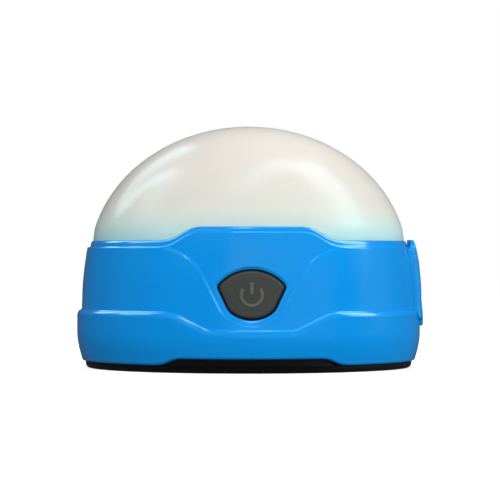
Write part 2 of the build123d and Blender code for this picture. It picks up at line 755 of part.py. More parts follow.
def clamp_seat():
    """Room for the hook's clamp, the bearing above it and its screws' pilot holes."""
    low, high = CLAMP_Y
    seat = block((-CLAMP_HALF_X - GAP, CLAMP_HALF_X + GAP), (low - GAP, high + GAP), (-1, WIRE_Z))
    bearing = Pos(0, AXLE_Y, WIRE_Z) * Rot(0, 90, 0) * Cylinder(WIRE_R + GAP, 2 * CLAMP_HALF_X + 1)
    seat += bearing
    for x in (-CLAMP_SCREW_X, CLAMP_SCREW_X):
        seat += disc(CLAMP_SCREW_R + PILOT, 0, BASE_TOP - 0.4, x, CLAMP_SCREW_Y)
    return seat


def hook_clamp():
    """Plate that holds the hook's axle in the base."""
    clamp = block((-CLAMP_HALF_X, CLAMP_HALF_X), CLAMP_Y, (CLAMP_BOTTOM, WIRE_Z - 0.02))
    clamp -= Pos(0, AXLE_Y, WIRE_Z) * Rot(0, 90, 0) * Cylinder(WIRE_R + GAP, 3 * CLAMP_HALF_X)
    for x in (-CLAMP_SCREW_X, CLAMP_SCREW_X):
        clamp -= disc(2 * CLAMP_SCREW_R, -1, CLAMP_HEAD_Z, x, CLAMP_SCREW_Y)
        clamp -= disc(CLAMP_SCREW_R + 0.1, -1, REACH, x, CLAMP_SCREW_Y)
    return clamp


def hook_clamp_screws():
    """Two small screws that hold the clamp."""
    tip = BASE_TOP - 0.5
    return [screw(x, CLAMP_SCREW_Y, CLAMP_HEAD_Z, tip, 1.3, 0.7, CLAMP_SCREW_R)
            for x in (-CLAMP_SCREW_X, CLAMP_SCREW_X)]


# ---- port cover ---------------------------------------------------------------------------
def port_cover():
    """Rubber cover over the charging port, with a pull lip at its top."""
    inner = COVER_GAP
    edges = [
        ThreePointArc((29.28, HINGE_Z), (29.28, 9.0), (29.05, 11.2)),
        ThreePointArc((29.05, 11.2), (28.85, 15.2), (28.2, 19.6)),
        ThreePointArc((28.2, 19.6), (28.1, 20.4), (27.7, 21.3)),
        Line((27.7, 21.3), (27.2, 21.3)),
        Line((27.2, 21.3), (27.15 + inner, 20.0)),
        ThreePointArc((27.15 + inner, 20.0), (27.5 + inner, 17.6), (27.75 + inner, 15.0)),
        Line((27.75 + inner, 15.0), (28.05 + inner, 10.1)),
        Line((28.05 + inner, 10.1), (FLARE_R + inner, 8.9)),
        Line((FLARE_R + inner, 8.9), (FLARE_R + inner, HINGE_Z)),
        Line((FLARE_R + inner, HINGE_Z), (29.28, HINGE_Z)),
    ]
    strip = turned(make_face(edges))
    wide = block((0, REACH), (-COVER_HALF_Y, COVER_HALF_Y), (8.2, 19.9))
    lip = block((0, REACH), (-LIP_HALF_Y, LIP_HALF_Y), (19.0, REACH))
    tongue = block((0, REACH), (-HINGE_HALF_Y, HINGE_HALF_Y), (HINGE_Z, 9.0))
    cover = strip & (wide + lip + tongue)
    cover += bar_y(HINGE_R, -HINGE_HALF_Y, HINGE_HALF_Y, HINGE_X, HINGE_Z)
    return cover + cover_plug()


def cover_plug():
    """Shallow plug on the cover's inside; its top leans back so that it swings out freely."""
    low = PORT_Z - WELL_HALF_Z + 0.2
    high = PORT_Z + WELL_HALF_Z - 0.25
    root = 28.3
    end = WELL_FLOOR_X + 0.25
    side = Polyline((end, low), (root, low), (root, high), (27.6, high), (end, high - 0.5), close=True)
    half_y = WELL_HALF_Y - 0.25
    return along_y(make_face(side), -half_y, half_y)


def port_cover_anchor():
    """Fixed end of the cover's strap, set into the housing."""
    anchor = block((ANCHOR_X, REACH), (-HINGE_HALF_Y, HINGE_HALF_Y), ANCHOR_Z)
    return anchor & disc(FLARE_R - 0.02, 0, HEIGHT)


NODES = {
    "housing": housing,
    "diffuser_dome": diffuser_dome,
    "dome_seal_ring": dome_seal_ring,
    "inner_frame": inner_frame,
    "frame_screws": frame_screws,
    "led_board": led_board,
    "white_leds": white_leds,
    "red_leds": red_leds,
    "reflector_plate": reflector_plate,
    "led_board_screws": led_board_screws,
    "control_board": control_board,
    "board_screws": board_screws,
    "charge_ic": charge_ic,
    "power_inductor": power_inductor,
    "smd_capacitors": smd_capacitors,
    "indicator_led": indicator_led,
    "usb_receptacle": usb_receptacle,
    "usb_tongue": usb_tongue,
    "switch_body": switch_body,
    "switch_plunger": switch_plunger,
    "power_button": power_button,
    "button_symbol": button_symbol,
    "button_membrane": button_membrane,
    "button_retainer": button_retainer,
    "button_retainer_screws": button_retainer_screws,
    "battery_cell": battery_cell,
    "battery_pad": battery_pad,
    "battery_connector": battery_connector,
    "battery_leads": battery_leads,
    "led_leads": led_leads,
    "base_plate": base_plate,
    "base_seal_ring": base_seal_ring,
    "base_screws": base_screws,
    "magnet": magnet,
    "magnet_cap": magnet_cap,
    "hanging_hook": hanging_hook,
    "hook_clamp": hook_clamp,
    "hook_clamp_screws": hook_clamp_screws,
    "port_cover": port_cover,
    "port_cover_anchor": port_cover_anchor,
}

os.makedirs("parts", exist_ok=True)
for name, make in NODES.items():
    shape = make()
    if isinstance(shape, list):
        shape = Compound(children=shape)
    export_step(shape, f"parts/{name}.step")
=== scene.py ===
"""Pocket dome lantern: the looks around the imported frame. Metres, +Z up, the button faces -Y."""

import json
import math

import bmesh
import bpy
import numpy as np
from mathutils import Matrix, Vector


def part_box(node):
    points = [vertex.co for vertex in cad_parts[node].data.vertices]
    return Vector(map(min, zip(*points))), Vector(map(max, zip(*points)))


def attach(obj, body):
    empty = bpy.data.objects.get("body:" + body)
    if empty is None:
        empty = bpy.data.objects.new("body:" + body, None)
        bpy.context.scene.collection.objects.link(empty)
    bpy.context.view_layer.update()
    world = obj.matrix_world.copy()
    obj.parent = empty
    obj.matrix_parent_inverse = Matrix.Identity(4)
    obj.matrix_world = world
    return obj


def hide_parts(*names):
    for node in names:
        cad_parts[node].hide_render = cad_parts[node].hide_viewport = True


MM = 0.001
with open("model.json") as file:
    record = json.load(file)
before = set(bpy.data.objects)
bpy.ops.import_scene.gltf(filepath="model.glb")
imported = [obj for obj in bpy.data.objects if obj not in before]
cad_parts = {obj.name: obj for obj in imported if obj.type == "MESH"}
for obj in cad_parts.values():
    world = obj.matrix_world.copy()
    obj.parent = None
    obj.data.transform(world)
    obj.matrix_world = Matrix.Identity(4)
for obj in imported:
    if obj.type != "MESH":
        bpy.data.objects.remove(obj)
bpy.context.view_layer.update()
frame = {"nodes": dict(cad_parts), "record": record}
scene = bpy.context.scene


# ---- sizes, in millimetres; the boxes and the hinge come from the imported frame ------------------
def box_mm(node):
    """Lowest and highest corners of a CAD node, in millimetres."""
    low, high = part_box(node)
    return [c / MM for c in low], [c / MM for c in high]


def joint_named(name):
    """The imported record's joint of that name."""
    return next(j for j in frame["record"]["behaviour"]["joints"] if j["name"] == name)


HOUSING_LOW, HOUSING_HIGH = box_mm("housing")
DOME_LOW, DOME_HIGH = box_mm("diffuser_dome")
CAP_LOW, CAP_HIGH = box_mm("power_button")
COVER_HIGH = box_mm("port_cover")[1]
ANCHOR_LOW, ANCHOR_HIGH = box_mm("port_cover_anchor")
USB_LOW, USB_HIGH = box_mm("usb_receptacle")
PLUG_R = box_mm("base_seal_ring")[1][0]

TOP = DOME_HIGH[2]
DOME_RISE = 23.0                      # upright half-axis of the dome's ellipsoid
DOME_R = 26.7                         # and its level one
DOME_Z = TOP - DOME_RISE
DOME_WALL = 1.8
LIP = 0.45                            # thickness of the housing's lip round the dome
LIP_PROUD = 0.03                      # how far the lip stands out from the dome's surface
LEDGE = 20.5                          # the housing's ledge that the dome sits on
RIM_HIGH = HOUSING_HIGH[2]            # top of the lip in front and behind
RIM_LOW = 21.1                        # and at the sides
SKIN_HIGH = 22.5                      # top of the wall, a little under the lip's
SKIN_LOW = 20.1
RIM_WAVE = (8.1, 15.2)                # half-widths where the fall from high to low starts and ends
FOOT_LOW = HOUSING_LOW[2]             # lower edge at the sides
FOOT_HIGH = FOOT_LOW + 1.1            # and in front and behind
FOOT_WAVE = (10.5, 15.2)
FLARE_R = -HOUSING_LOW[1]
FLARE_TOP = 9.75                      # upper edge of the flare
FLARE_DIP = 6.95                      # the same edge under the button
FLARE_WAVE = (6.9, 12.6)              # half-widths of that dip at its bottom and at its top
FRAME_H = 0.28                        # height of the raised frame round the port cover
SEAT_GAP = 0.05                       # round the pieces that sit in the housing
BORE_R = PLUG_R + SEAT_GAP
CAP_R = -CAP_LOW[1]                   # the cap's face lies on a cylinder of this radius
CAP_GAP = 0.32                        # between the cap and its opening
CAP_MIDDLE = (0.0, 12.4)
HINGE = [c / MM for c in joint_named("port_cover_open")["pos_m"]]
COOL = (0.6, 0.93, 1.0)               # tint of the softboxes that make the gloss


# ---- number helpers --------------------------------------------------------------------------
def smooth(low, high, value):
    """Smooth step from 0 at low to 1 at high."""
    t = np.clip((value - low) / (high - low), 0.0, 1.0)
    return t * t * (3.0 - 2.0 * t)


def smooth_min(a, b, width):
    """The smaller of two fields, rounded where they cross."""
    h = np.clip(0.5 + 0.5 * (b - a) / width, 0.0, 1.0)
    return b + (a - b) * h - width * h * (1.0 - h)


def smooth_max(a, b, width):
    """The larger of two fields, rounded where they cross."""
    return -smooth_min(-a, -b, width)


def wave(x, low, high, widths):
    """Height of a line that is level at the sides and raised in the middle, with soft bends."""
    t = np.linspace(0.0, 1.0, 200)
    along = 1.5 * t - 1.5 * t**2 + t**3
    fall = 3.0 * t**2 - 2.0 * t**3
    place = (np.abs(x) - widths[0]) / (widths[1] - widths[0])
    return high + (low - high) * np.interp(place, along, fall)


def arc(first, middle, last, count):
    """Points on the circle through three points, from the first to the last."""
    (ax, ay), (bx, by), (cx, cy) = first, middle, last
    d = 2.0 * (ax * (by - cy) + bx * (cy - ay) + cx * (ay - by))
    a2, b2, c2 = ax**2 + ay**2, bx**2 + by**2, cx**2 + cy**2
    ox = (a2 * (by - cy) + b2 * (cy - ay) + c2 * (ay - by)) / d
    oy = (a2 * (cx - bx) + b2 * (ax - cx) + c2 * (bx - ax)) / d
    start, mid, end = [math.atan2(y - oy, x - ox) for x, y in (first, middle, last)]
    span = (end - start) % (2 * math.pi)
    if (mid - start) % (2 * math.pi) > span:
        span -= 2 * math.pi
    angles = np.linspace(start, start + span, count)
    radius = math.hypot(ax - ox, ay - oy)
    return np.column_stack([ox + radius * np.cos(angles), oy + radius * np.sin(angles)])


def straight(first, last, count):
    """Points on a straight line, ends included."""
    return np.linspace(first, last, count)


def rounded(parts, trim, count=8):
    """Closed outline of several stretches whose meeting corners are rounded off."""
    outline = []
    for part, following in zip(parts, parts[1:] + parts[:1]):
        corner = part[-1]
        near = np.linalg.norm(part - corner, axis=1) > trim
        far = np.linalg.norm(part - part[0], axis=1) > trim
        outline.append(part[near & far])
        ahead = following[np.linalg.norm(following - corner, axis=1) > trim][0]
        behind = part[near][-1]
        t = np.linspace(0.0, 1.0, count + 2)[1:-1, None]
        outline.append((1 - t) ** 2 * behind + 2 * t * (1 - t) * corner + t**2 * ahead)
    return np.concatenate(outline)


def resampled(outline, count):
    """The same closed outline with evenly spaced points."""
    closed = np.vstack([outline, outline[:1]])
    steps = np.linalg.norm(np.diff(closed, axis=0), axis=1)
    length = np.concatenate([[0.0], np.cumsum(steps)])
    places = np.linspace(0.0, length[-1], count, endpoint=False)
    return np.column_stack([np.interp(places, length, closed[:, i]) for i in (0, 1)])


def grown(outline, amount):
    """Closed outline moved outwards, or inwards if negative; it runs anticlockwise."""
    along = np.roll(outline, -1, axis=0) - np.roll(outline, 1, axis=0)
    along /= np.linalg.norm(along, axis=1)[:, None]
    return outline + amount * np.column_stack([along[:, 1], -along[:, 0]])


def circle(centre, radius, count=32):
    """Anticlockwise circle."""
    turn = np.linspace(0.0, 2 * math.pi, count, endpoint=False)
    return np.asarray(centre) + radius * np.column_stack([np.cos(turn), np.sin(turn)])


def anticlockwise(outline):
    """The outline, turned round if it runs clockwise."""
    x, y = outline[:, 0], outline[:, 1]
    area = np.sum(x * np.roll(y, -1) - np.roll(x, -1) * y)
    return outline if area > 0 else outline[::-1]


def inside_distance(outline, u, v):
    """Distance from each place to a closed outline, positive inside it."""
    points = np.column_stack([u.ravel(), v.ravel()])
    best = np.full(len(points), 1e9)
    crossings = np.zeros(len(points), dtype=int)
    for start, end in zip(outline, np.roll(outline, -1, axis=0)):
        edge = end - start
        t = np.clip((points - start) @ edge / max(edge @ edge, 1e-12), 0.0, 1.0)
        best = np.minimum(best, np.linalg.norm(points - start - t[:, None] * edge, axis=1))
        above = (start[1] > points[:, 1]) != (end[1] > points[:, 1])
        rise = edge[1] if edge[1] else 1e-12
        crossings += above & (points[:, 0] < start[0] + (points[:, 1] - start[1]) * edge[0] / rise)
    return np.where(crossings % 2 == 1, best, -best).reshape(u.shape)


# ---- outlines ---------------------------------------------------------------------------------
def button_outline():
    """Shield outline of the button opening, as (x, z)."""
    left, right = (-5.65, 13.8), (5.65, 13.8)
    low_left, low_right = (-3.8, 9.9), (3.8, 9.9)
    parts = [
        arc(left, (0.0, 16.6), right, 60),
        straight(right, low_right, 30),
        arc(low_right, (0.0, 8.4), low_left, 50),
        straight(low_left, left, 30),
    ]
    return anticlockwise(resampled(rounded(parts, 0.55), 160))


def panel_outline():
    """Outline of the sunk panel round the button; it runs out over the rim."""
    top = RIM_HIGH + 4.0
    parts = [
        arc((-5.0, 9.9), (0.0, 7.43), (5.0, 9.9), 30),
        straight((5.0, 9.9), (7.5, 14.8), 12),
        arc((7.5, 14.8), (9.6, 17.8), (12.5, 19.5), 16),
        arc((12.5, 19.5), (14.6, 20.3), (17.0, 20.6), 8),
        straight((17.0, 20.6), (17.0, top), 3),
        straight((17.0, top), (-17.0, top), 3),
        straight((-17.0, top), (-17.0, 20.6), 3),
        arc((-17.0, 20.6), (-14.6, 20.3), (-12.5, 19.5), 8),
        arc((-12.5, 19.5), (-9.6, 17.8), (-7.5, 14.8), 16),
        straight((-7.5, 14.8), (-5.0, 9.9), 12),
    ]
    return np.concatenate([part[:-1] for part in parts])


# ---- meshes -----------------------------------------------------------------------------------
def new_object(name, vertices, faces, material, angle=40.0):
    """Mesh object from millimetre vertices, smooth but for edges sharper than an angle."""
    mesh = bpy.data.meshes.new(name)
    mesh.from_pydata((np.asarray(vertices) * MM).tolist(), [], faces)
    mesh.validate()
    obj = bpy.data.objects.new(name, mesh)
    scene.collection.objects.link(obj)
    tidy_mesh(obj, angle)
    if material:
        mesh.materials.append(material)
    return obj


def tidy_mesh(obj, angle=40.0):
    """Merges doubled points, turns every face outwards and shades smooth but for sharp edges."""
    mesh = obj.data
    bm = bmesh.new()
    bm.from_mesh(mesh)
    bmesh.ops.remove_doubles(bm, verts=bm.verts, dist=1e-6)
    bmesh.ops.dissolve_degenerate(bm, dist=1e-6, edges=bm.edges)
    bmesh.ops.recalc_face_normals(bm, faces=bm.faces)
    bm.to_mesh(mesh)
    bm.free()
    for polygon in mesh.polygons:
        polygon.use_smooth = True
    mesh.set_sharp_from_angle(angle=math.radians(angle))


def ring_faces(rows, columns, closed_rows=False):
    """Quads of a grid whose columns run round and whose rows may."""
    faces = []
    last = rows if closed_rows else rows - 1
    for i in range(last):
        below, above = i * columns, (i + 1) % rows * columns
        for j in range(columns):
            k = (j + 1) % columns
            faces.append((below + j, below + k, above + k, above + j))
    return faces


def plate(name, outline, centre, levels, place, material, angle=40.0, fill=(0.8, 0.55, 0.3)):
    """Closed solid whose outline is inset by the first number of each level, at the second.

    The first and last levels are filled in by rings that shrink to the centre. place turns
    (u, v, level) into x, y, z.
    """
    rings = [(grown(outline, -inset), height) for inset, height in levels]
    inner = [(centre + s * (rings[0][0] - centre), rings[0][1]) for s in reversed(fill)]
    outer = [(centre + s * (rings[-1][0] - centre), rings[-1][1]) for s in fill]
    rings = inner + rings + outer
    count = len(outline)
    vertices = [place(ring[:, 0], ring[:, 1], height) for ring, height in rings]
    middle = np.array([centre])
    vertices.append(place(middle[:, 0], middle[:, 1], levels[0][1]))
    vertices.append(place(middle[:, 0], middle[:, 1], levels[-1][1]))
    faces = ring_faces(len(rings), count)
    first, last = len(rings) * count, len(rings) * count + 1
    for j in range(count):
        k = (j + 1) % count
        faces.append((k, j, first))
        faces.append(((len(rings) - 1) * count + j, (len(rings) - 1) * count + k, last))
    return new_object(name, np.concatenate(vertices), faces, material, angle)


def round_edge(radius, height, steps=5):
    """Levels of a quarter round that ends at a height, with the inset growing to a radius."""
    turns = np.linspace(0.0, math.pi / 2, steps)
    return [(radius * (1 - math.cos(a)), height - radius * (1 - math.sin(a))) for a in turns]


def facing_front(u, v, depth):
    """(x, z) drawn on the front, with depth as y."""
    return np.column_stack([u, np.full_like(u, depth), v])


def on_cylinder(radius):
    """Place on an upright cylinder's front, with the level as distance out from it."""
    def place(u, v, out):
        return np.column_stack([u, -np.sqrt((radius + out) ** 2 - u**2), v])
    return place


def cut(target, *tools):
    """Takes solids away from an object and deletes them."""
    for tool in tools:
        modifier = target.modifiers.new("cut", "BOOLEAN")
        modifier.operation = "DIFFERENCE"
        modifier.solver = "EXACT"
        modifier.object = tool
    graph = bpy.context.evaluated_depsgraph_get()
    mesh = bpy.data.meshes.new_from_object(target.evaluated_get(graph))
    target.modifiers.clear()
    old = target.data
    target.data = mesh
    bpy.data.meshes.remove(old)
    for tool in tools:
        bpy.data.objects.remove(tool)
    tidy_mesh(target)


def join(objects):
    """Joins objects into the first one."""
    bm = bmesh.new()
    for obj in objects:
        bm.from_mesh(obj.data)
    bm.to_mesh(objects[0].data)
    bm.free()
    for obj in objects[1:]:
        bpy.data.objects.remove(obj)


# ---- materials --------------------------------------------------------------------------------
def from_srgb(red, green, blue):
    """Linear colour from 0 to 255 screen values."""
    values = [c / 255 for c in (red, green, blue)]
    return [c / 12.92 if c <= 0.04045 else ((c + 0.055) / 1.055) ** 2.4 for c in values] + [1.0]


class Surface:
    """A Principled material with a few node helpers."""

    def __init__(self, name, color, roughness, **settings):
        self.material = bpy.data.materials.new(name)
        self.material.use_nodes = True
        self.nodes = self.material.node_tree.nodes
        self.links = self.material.node_tree.links
        self.shader = self.nodes["Principled BSDF"]
        self.shader.inputs["Base Color"].default_value = color
        self.shader.inputs["Roughness"].default_value = roughness
        for key, value in settings.items():
            self.shader.inputs[key.replace("_", " ")].default_value = value
        self.place = self.nodes.new("ShaderNodeTexCoord").outputs["Object"]

    def noise(self, scale, detail=3.0, roughness=0.5):
        """Noise value in object space."""
        node = self.nodes.new("ShaderNodeTexNoise")
        node.inputs["Scale"].default_value = scale
        node.inputs["Detail"].default_value = detail
        node.inputs["Roughness"].default_value = roughness
        self.links.new(self.place, node.inputs["Vector"])
        return node.outputs["Fac"]

    def ramp(self, value, stops):
        """Colour ramp over a value; stops are (position, colour)."""
        node = self.nodes.new("ShaderNodeValToRGB")
        elements = node.color_ramp.elements
        while len(elements) < len(stops):
            elements.new(0.5)
        for element, (position, color) in zip(elements, stops):
            element.position = position
            element.color = color
        self.links.new(value, node.inputs["Fac"])
        return node.outputs["Color"]

    def span(self, value, low, high, out_low=0.0, out_high=1.0):
        """Maps a value from one range to another, clamped."""
        node = self.nodes.new("ShaderNodeMapRange")
        limits = {"From Min": low, "From Max": high, "To Min": out_low, "To Max": out_high}
        for key, number in limits.items():
            node.inputs[key].default_value = number
        self.links.new(value, node.inputs["Value"])
        return node.outputs["Result"]

    def axis(self, name):
        """One coordinate in object space."""
        node = self.nodes.new("ShaderNodeSeparateXYZ")
        self.links.new(self.place, node.inputs["Vector"])
        return node.outputs[name]

    def bump(self, value, distance, strength=1.0):
        """Bump from a height value."""
        node = self.nodes.new("ShaderNodeBump")
        node.inputs["Distance"].default_value = distance
        node.inputs["Strength"].default_value = strength
        self.links.new(value, node.inputs["Height"])
        self.links.new(node.outputs["Normal"], self.shader.inputs["Normal"])

    def connect(self, output, name):
        """Joins an output to one of the shader's sockets."""
        self.links.new(output, self.shader.inputs[name])


def tinted(color, factor):
    """A colour made lighter or darker."""
    return [min(1.0, c * factor) for c in color[:3]] + [1.0]


def moulded(name, screen_color, roughness, variation, grain, depth, **settings):
    """Moulded plastic or rubber: faint colour drift, uneven gloss and a fine surface grain."""
    color = from_srgb(*screen_color)
    surface = Surface(name, color, roughness, **settings)
    drift = surface.noise(60.0, 2.0)
    stops = [(0.3, tinted(color, 1 - variation)), (0.7, tinted(color, 1 + variation))]
    surface.connect(surface.ramp(drift, stops), "Base Color")
    gloss = surface.span(surface.noise(220.0, 3.0), 0.3, 0.7, roughness * 0.9, roughness * 1.12)
    surface.connect(gloss, "Roughness")
    surface.bump(surface.noise(grain, 2.0), depth)
    return surface.material


def dome_with_painted_light():
    """Milky plastic with painted light: a painted cyan glow towards the rim, where the blue shell
    shines into it, and painted shade lower down that leaves the top lighter.
    """
    surface = Surface("dome_milky", from_srgb(232, 228, 219), 0.21,
                      IOR=1.46, Specular_IOR_Level=0.12)
    # painted light in the base colour: cyan glow at the rim, greyer painted shade lower down, lighter
    # top
    stops = [
        (0.0, from_srgb(168, 225, 230)),
        (0.08, from_srgb(191, 228, 226)),
        (0.145, from_srgb(199, 223, 218)),
        (0.21, from_srgb(206, 219, 211)),
        (0.285, from_srgb(213, 216, 207)),
        (0.355, from_srgb(213, 213, 204)),
        (0.55, from_srgb(215, 211, 203)),
        (0.78, from_srgb(222, 217, 209)),
        (1.0, from_srgb(232, 227, 218)),
    ]
    reach = 18.0                              # height of the ramp above the rim's low part
    # the ramp over height paints this light and shade into the base colour
    height = surface.span(surface.axis("Z"), RIM_LOW * MM, (RIM_LOW + reach) * MM)
    surface.connect(surface.ramp(height, stops), "Base Color")
    surface.shader.inputs["Subsurface Weight"].default_value = 0.35
    surface.shader.inputs["Subsurface Radius"].default_value = (1.0, 0.9, 0.8)
    surface.shader.inputs["Subsurface Scale"].default_value = 0.004
    surface.bump(surface.noise(700.0, 2.0), 0.000003)
    return surface.material


def steel_material(name, roughness):
    """Bare steel with fine drawing lines."""
    surface = Surface(name, from_srgb(196, 197, 199), roughness, Metallic=1.0)
    gloss = surface.span(surface.noise(1500.0, 4.0), 0.3, 0.7, roughness * 0.7, roughness * 1.4)
    surface.connect(gloss, "Roughness")
    surface.bump(surface.noise(3000.0, 2.0), 0.000002)
    return surface.material


# slot: colour, roughness, colour drift, grain per metre, grain depth in metres
MOULDED = {
    "shell_blue": ((4, 146, 230), 0.13, 0.02, 900.0, 3e-6),
    "button_rubber": ((62, 64, 61), 0.62, 0.06, 2600.0, 12e-6),
    "symbol_rubber": ((88, 91, 89), 0.5, 0.05, 2600.0, 6e-6),
    "dark_rubber": ((22, 24, 25), 0.6, 0.1, 2600.0, 10e-6),
    "base_black": ((8, 8, 9), 0.5, 0.1, 2200.0, 20e-6),
    "white_plastic": ((232, 232, 228), 0.4, 0.02, 2000.0, 4e-6),
    "board_green": ((20, 88, 48), 0.35, 0.08, 1500.0, 6e-6),
    "board_white": ((236, 236, 236), 0.35, 0.02, 1500.0, 4e-6),
    "led_yellow": ((232, 196, 92), 0.3, 0.05, 2000.0, 3e-6),
    "led_red": ((196, 30, 24), 0.25, 0.05, 2000.0, 3e-6),
    "chip_black": ((28, 28, 30), 0.55, 0.1, 3000.0, 6e-6),
    "ceramic_tan": ((176, 148, 118), 0.45, 0.06, 2500.0, 4e-6),
    "foam_grey": ((110, 110, 112), 0.9, 0.15, 1200.0, 60e-6),
    "wire_red": ((176, 26, 22), 0.4, 0.05, 2200.0, 4e-6),
}
STEEL_ROUGHNESS = {"steel": 0.24, "nickel": 0.16, "cell_silver": 0.42}


def make_materials():
    """Every material of the lantern, by its slot in the record."""
    materials = {name: moulded(name, *finish) for name, finish in MOULDED.items()}
    for name, roughness in STEEL_ROUGHNESS.items():
        materials[name] = steel_material(name, roughness)
    materials["cover_blue"] = moulded("cover_blue", (4, 150, 226), 0.28, 0.02, 2500.0, 4e-6,
                                      Specular_IOR_Level=0.25)
    materials["dome_milky"] = dome_with_painted_light()
    return materials


MATERIALS = make_materials()


# ---- camera and light -------------------------------------------------------------------------
def make_camera():
    """Long lens in front of the lantern, about level with the middle of its height."""
    data = bpy.data.cameras.new("camera")
    data.sensor_width = 36.0
    data.lens = 198.0
    camera = bpy.data.objects.new("camera", data)
    scene.collection.objects.link(camera)
    distance = 0.462
    turn = math.radians(-1.1)
    aim = Vector((0.00024, 0.0, 0.0196))
    camera.location = aim + Vector((distance * math.sin(turn), -distance * math.cos(turn), 0.0))
    camera.rotation_euler = (aim - camera.location).to_track_quat("-Z", "Y").to_euler()
    data.clip_start = 0.01
    data.clip_end = 20.0
    scene.camera = camera


def softbox(name, direction, distance, size, radiance, seen_by, along=(0.0, 0.0, 1.0)):
    """Rectangular lamp aimed at the lantern, with its second side along a direction.

    It lights only the diffuse part of surfaces, or only their gloss.
    """
    middle = Vector((0.0, 0.0, 0.018))
    data = bpy.data.lights.new(name, "AREA")
    data.shape = "RECTANGLE"
    data.size, data.size_y = size
    data.energy = radiance * math.pi * size[0] * size[1]
    data.color = COOL if seen_by == "glossy" else (1.0, 1.0, 1.0)
    lamp = bpy.data.objects.new(name, data)
    scene.collection.objects.link(lamp)
    outward = Vector(direction).normalized()
    across = Vector(along).cross(outward).normalized()
    turn = Matrix((across, outward.cross(across), outward)).transposed()
    lamp.matrix_world = Matrix.Translation(middle + distance * outward) @ turn.to_4x4()
    lamp.visible_diffuse = seen_by == "diffuse"
    lamp.visible_glossy = seen_by == "glossy"


def make_world():
    """Surroundings that are white to look at and dim as a light."""
    world = bpy.data.worlds.new("studio")
    scene.world = world
    world.use_nodes = True
    nodes, links = world.node_tree.nodes, world.node_tree.links
    path = nodes.new("ShaderNodeLightPath")
    strength = nodes.new("ShaderNodeMapRange")
    strength.inputs["To Min"].default_value = 0.07
    strength.inputs["To Max"].default_value = 1.0
    links.new(path.outputs["Is Camera Ray"], strength.inputs["Value"])
    links.new(strength.outputs["Result"], nodes["Background"].inputs["Strength"])
    nodes["Background"].inputs["Color"].default_value = (1.0, 1.0, 1.0, 1.0)


def make_floor():
    """Pale floor that the lantern stands on."""
    half = 700.0
    corners = [(-half, -half, 0), (half, -half, 0), (half, half, 0), (-half, half, 0)]
    surface = Surface("floor_pale", (0.7, 0.7, 0.7, 1.0), 0.8, Specular_IOR_Level=0.0)
    surface.shader.inputs["Emission Color"].default_value = (1.0, 1.0, 1.0, 1.0)
    surface.shader.inputs["Emission Strength"].default_value = 0.6
    floor = new_object("floor", corners, [(0, 1, 2, 3)], surface.material)
    floor.visible_glossy = False
    floor.visible_diffuse = False


def make_lights():
    """Soft studio light: broad fills for the colours, softboxes for the streaks of gloss."""
    softbox("fill_front_right", (0.55, -0.72, 0.18), 0.8, (0.6, 0.6), 3.1, "diffuse")
    softbox("fill_front_left", (-0.55, -0.7, 0.65), 0.8, (0.5, 0.5), 4.1, "diffuse")
    softbox("fill_front", (0.0, -1.0, 0.12), 0.8, (0.4, 0.3), 4.3, "diffuse")
    softbox("fill_left", (-1.0, 0.1, 0.25), 0.8, (0.5, 0.5), 0.8, "diffuse")
    softbox("fill_right", (1.0, 0.1, 0.25), 0.8, (0.5, 0.5), 4.8, "diffuse")
    softbox("fill_top", (0.0, 0.0, 1.0), 0.7, (0.8, 0.8), 0.93, "diffuse", along=(0.0, 1.0, 0.0))
    softbox("fill_back", (0.2, 1.0, 0.4), 0.8, (0.8, 0.6), 2.4, "diffuse")
    softbox("band_right", (0.73, 0.08, 0.68), 0.6, (0.23, 0.66), 8.0, "glossy",
            along=(-0.71, 0.45, 0.61))
    softbox("band_left", (-0.7, 0.2, 0.68), 0.6, (0.24, 0.4), 5.0, "glossy",
            along=(0.29, 0.28, 0.21))
    softbox("rim_left", (-0.5, 0.62, 0.52), 0.6, (0.17, 0.4), 3.6, "glossy",
            along=(0.48, 0.14, 0.2))
    softbox("strip_top", (0.1, -0.06, 1.0), 0.6, (0.55, 0.08), 9.0, "glossy")
    softbox("strip_left", (-0.6, 0.45, 0.6), 0.6, (0.06, 0.34), 7.0, "glossy")


# ---- housing ----------------------------------------------------------------------------------
def skin_radius(z):
    """Outside of the wall: it tapers evenly, and leans in more and more above a height."""
    radius, height, taper = 28.15, 7.0, 0.05
    lean_from, lean = 14.0, 0.0317
    return radius - taper * (z - height) - lean * np.maximum(z - lean_from, 0.0) ** 1.5


def flare_radius(z):
    """Outside of the lower band, which draws in below its widest height."""
    widest, drop, inward = 6.0, 4.25, 0.77
    return FLARE_R - inward * (np.maximum(widest - z, 0.0) / drop) ** 1.8


def panel_radius(z):
    """Floor of the sunk panel round the button, which gets shallower towards the rim."""
    deep, rise = 0.42, 0.3
    return skin_radius(z) - deep + rise * smooth(15.0, 23.0, z)


def flare_step(x, z, front):
    """0 above the flare's upper edge and 1 below it, with a rounded shoulder."""
    shoulder_r, blend = 1.1, 0.5
    side = FLARE_TOP - z
    inner, outer = FLARE_WAVE
    run, drop = outer - inner, FLARE_TOP - FLARE_DIP
    slant = (side * run - (outer - np.abs(x)) * drop) / math.hypot(run, drop)
    dipped = smooth_max(smooth_min(side, slant, blend), FLARE_DIP - z, blend)
    depth = np.where(front, dipped, side)
    shoulder = np.sqrt(1.0 - (1.0 - np.clip(depth / shoulder_r, 0.0, 1.0)) ** 2)
    return shoulder * smooth(-0.02, 0.14, depth)


def outside_radius(turn, z):
    """Radius of the housing's outside at an angle from the front, at a height."""
    skin = skin_radius(z)
    x = skin * np.sin(turn)
    front = np.cos(turn) > 0
    sunk = np.where(front, smooth(-0.19, 0.19, inside_distance(panel_outline(), x, z)), 0.0)
    upper = skin + (panel_radius(z) - skin) * sunk
    radius = upper + (flare_radius(z) - upper) * flare_step(x, z, front)
    wide, deep = 0.42, 0.3                # the dished edge round the button
    edge = inside_distance(grown(button_outline(), wide), x, z)
    radius = radius - np.where(front, deep * smooth(0.0, wide, edge), 0.0)
    return radius + port_surround(turn, z)


